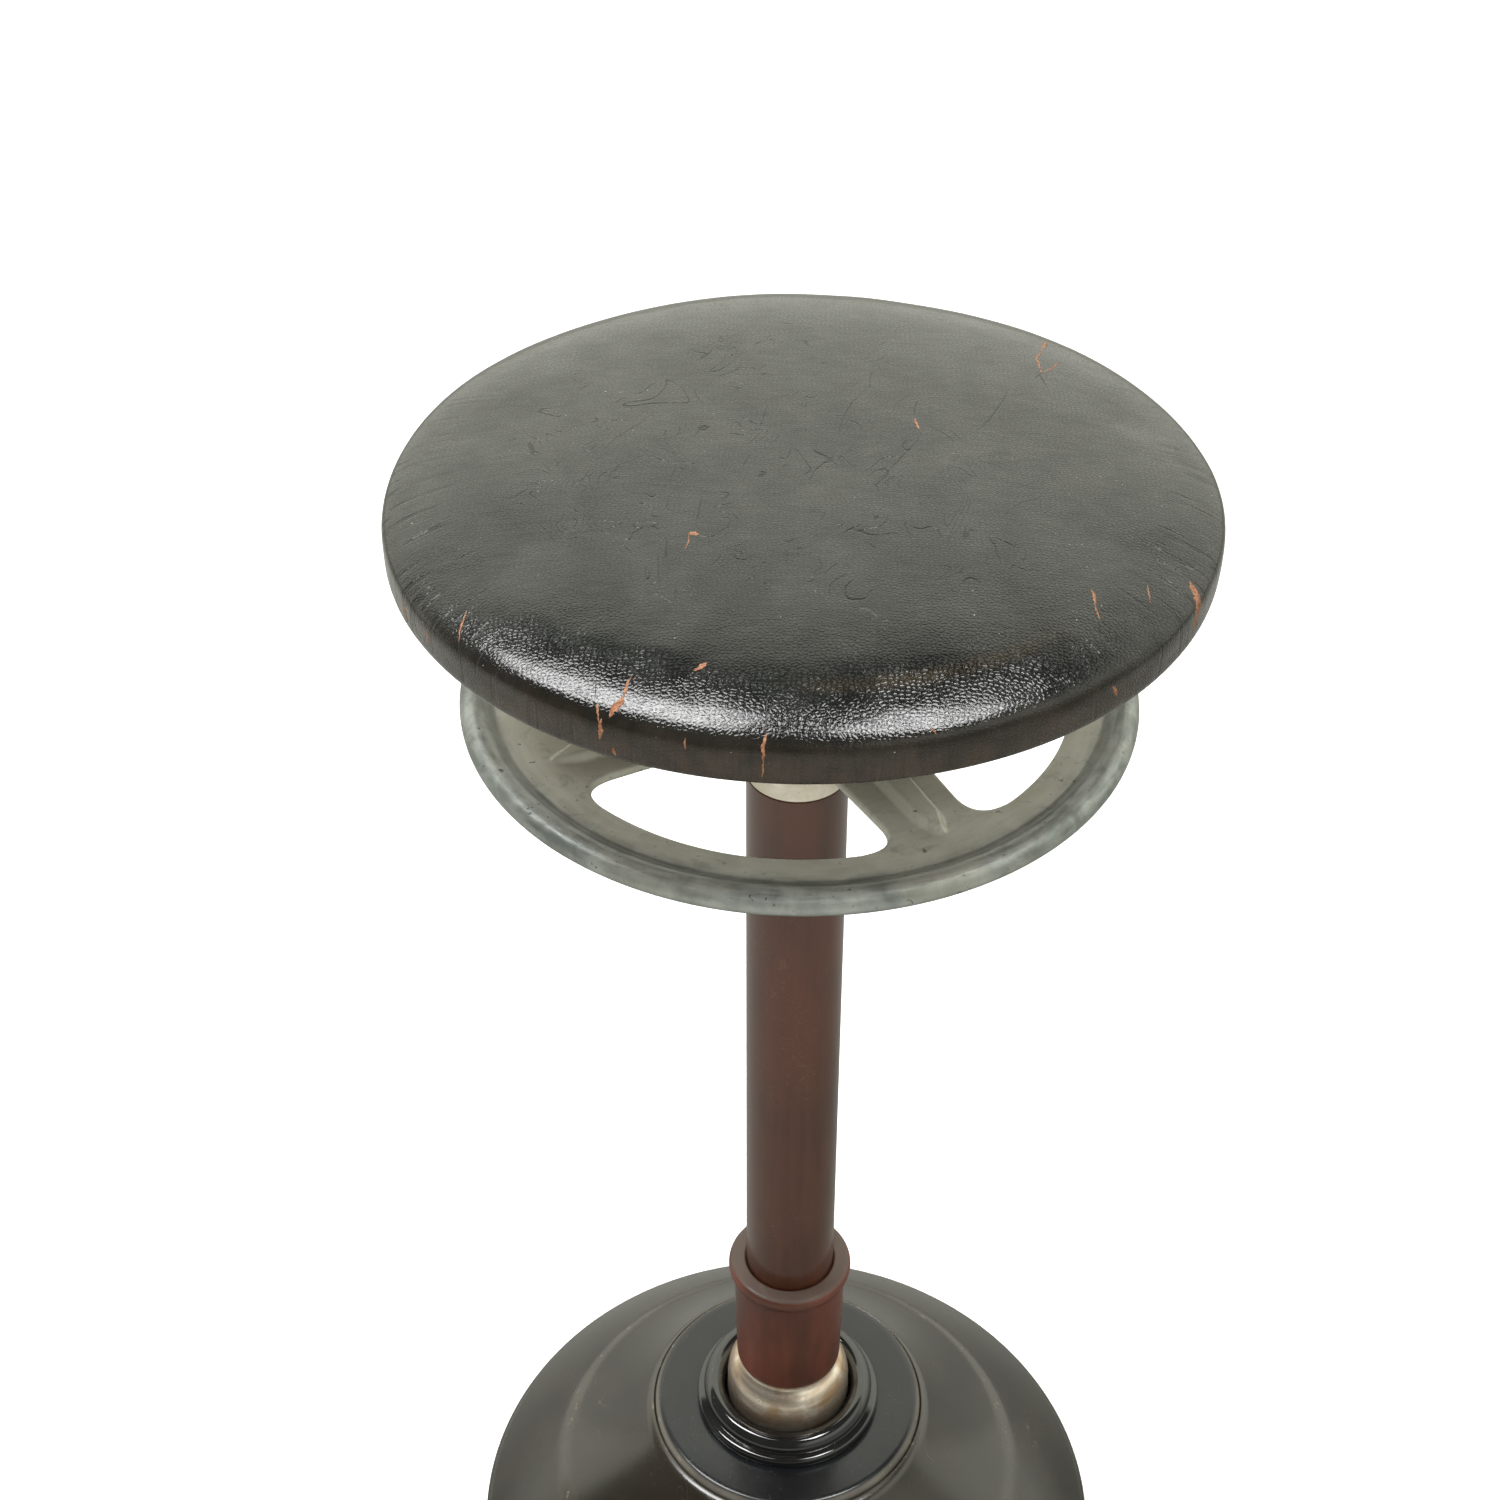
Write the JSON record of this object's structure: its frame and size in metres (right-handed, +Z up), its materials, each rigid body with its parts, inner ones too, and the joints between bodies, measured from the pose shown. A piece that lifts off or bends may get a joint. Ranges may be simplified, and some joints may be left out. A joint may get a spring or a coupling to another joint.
{
  "type": "dental stool",
  "caption": "Round leather stool on a locking height-adjustable post with a spoked lift ring, on a column that leans in a ball socket on a heavy domed base",
  "frame": {"origin": "floor, under the middle of the base", "axes": "+Z up along the column, -Y towards the viewer of the picture, +X to that viewer's right"},
  "size_m": [0.3664, 0.3664, 0.755],
  "materials": {
    "black_enamel": "glossy black enamel on cast iron",
    "black_enamel_plate": "glossy black enamel",
    "gloss_black": "high gloss black",
    "grey_iron": "as cast",
    "floor_rubber": "matt",
    "fibre": "matt fibre",
    "worn_steel": "worn, warm grey",
    "brown_enamel_sleeve": "glossy mahogany enamel",
    "brown_enamel": "glossy mahogany enamel",
    "nickel_bush": "satin nickel",
    "nickel": "bright nickel",
    "bronze": "turned",
    "spring_steel": "oiled",
    "dark_steel": "blued",
    "bright_steel": "turned",
    "cast_grey": "dull cast, worn bright on the grip",
    "grey_iron_flange": "as cast",
    "seat_wood": "plain",
    "pad_felt": "stuffing",
    "leather": "pebbled, cracked, glossy at the edge"
  },
  "bodies": {
    "base": {"dome_base": "black_enamel", "floor_ring": "floor_rubber", "socket_plate": "black_enamel_plate", "socket_ring": "gloss_black", "socket_cup": "grey_iron", "tail_spring": "spring_steel", "socket_bolt_1": "dark_steel", "socket_bolt_2": "dark_steel", "socket_bolt_3": "dark_steel", "socket_bolt_4": "dark_steel"},
    "liner": {"ball_liner": "fibre"},
    "column": {"ball_foot": "worn_steel", "tail_stud": "dark_steel", "tail_washer": "dark_steel", "tail_nut": "dark_steel", "sleeve": "brown_enamel_sleeve", "sleeve_set_screw": "dark_steel", "outer_tube": "brown_enamel", "tube_top_bush": "nickel_bush", "lift_spring": "spring_steel"},
    "ram": {"ram": "nickel", "lock_collet": "bronze", "stop_collar": "dark_steel", "collar_set_screw": "dark_steel", "seat_spindle": "bright_steel", "thrust_washer": "bronze", "spindle_washer": "dark_steel", "spindle_nut": "dark_steel", "rod_spring": "spring_steel"},
    "lift_ring": {"lift_ring": "cast_grey", "cross_pin": "dark_steel", "release_rod": "bright_steel"},
    "seat": {"seat_flange": "grey_iron_flange", "seat_board": "seat_wood", "seat_pad": "pad_felt", "seat_cover": "leather", "seat_screw_1": "dark_steel", "seat_screw_2": "dark_steel", "seat_screw_3": "dark_steel", "seat_screw_4": "dark_steel"}
  },
  "joints": [
    {"name": "lean_fore_aft", "type": "hinge", "parent": "base", "child": "liner", "pos_m": [0, 0, 0.125], "axis": [1, 0, 0], "range_deg": [-8, 8], "stiffness_Nm_per_rad": 400, "deforming": ["tail_spring"]},
    {"name": "lean_sideways", "type": "hinge", "parent": "liner", "child": "column", "pos_m": [0, 0, 0.125], "axis": [0, 1, 0], "range_deg": [-8, 8], "stiffness_Nm_per_rad": 400, "deforming": ["tail_spring"]},
    {"name": "seat_height", "type": "slide", "parent": "column", "child": "ram", "axis": [0, 0, 1], "range_m": [0, 0.12], "deforming": ["lift_spring"]},
    {"name": "ring_lift", "type": "slide", "parent": "ram", "child": "lift_ring", "axis": [0, 0, 1], "range_m": [0, 0.008], "stiffness_N_per_m": 1500, "springref_m": -0.01, "deforming": ["rod_spring"]},
    {"name": "seat_swivel", "type": "hinge", "parent": "ram", "child": "seat", "pos_m": [0, 0, 0.7], "axis": [0, 0, 1], "continuous": true}
  ]
}
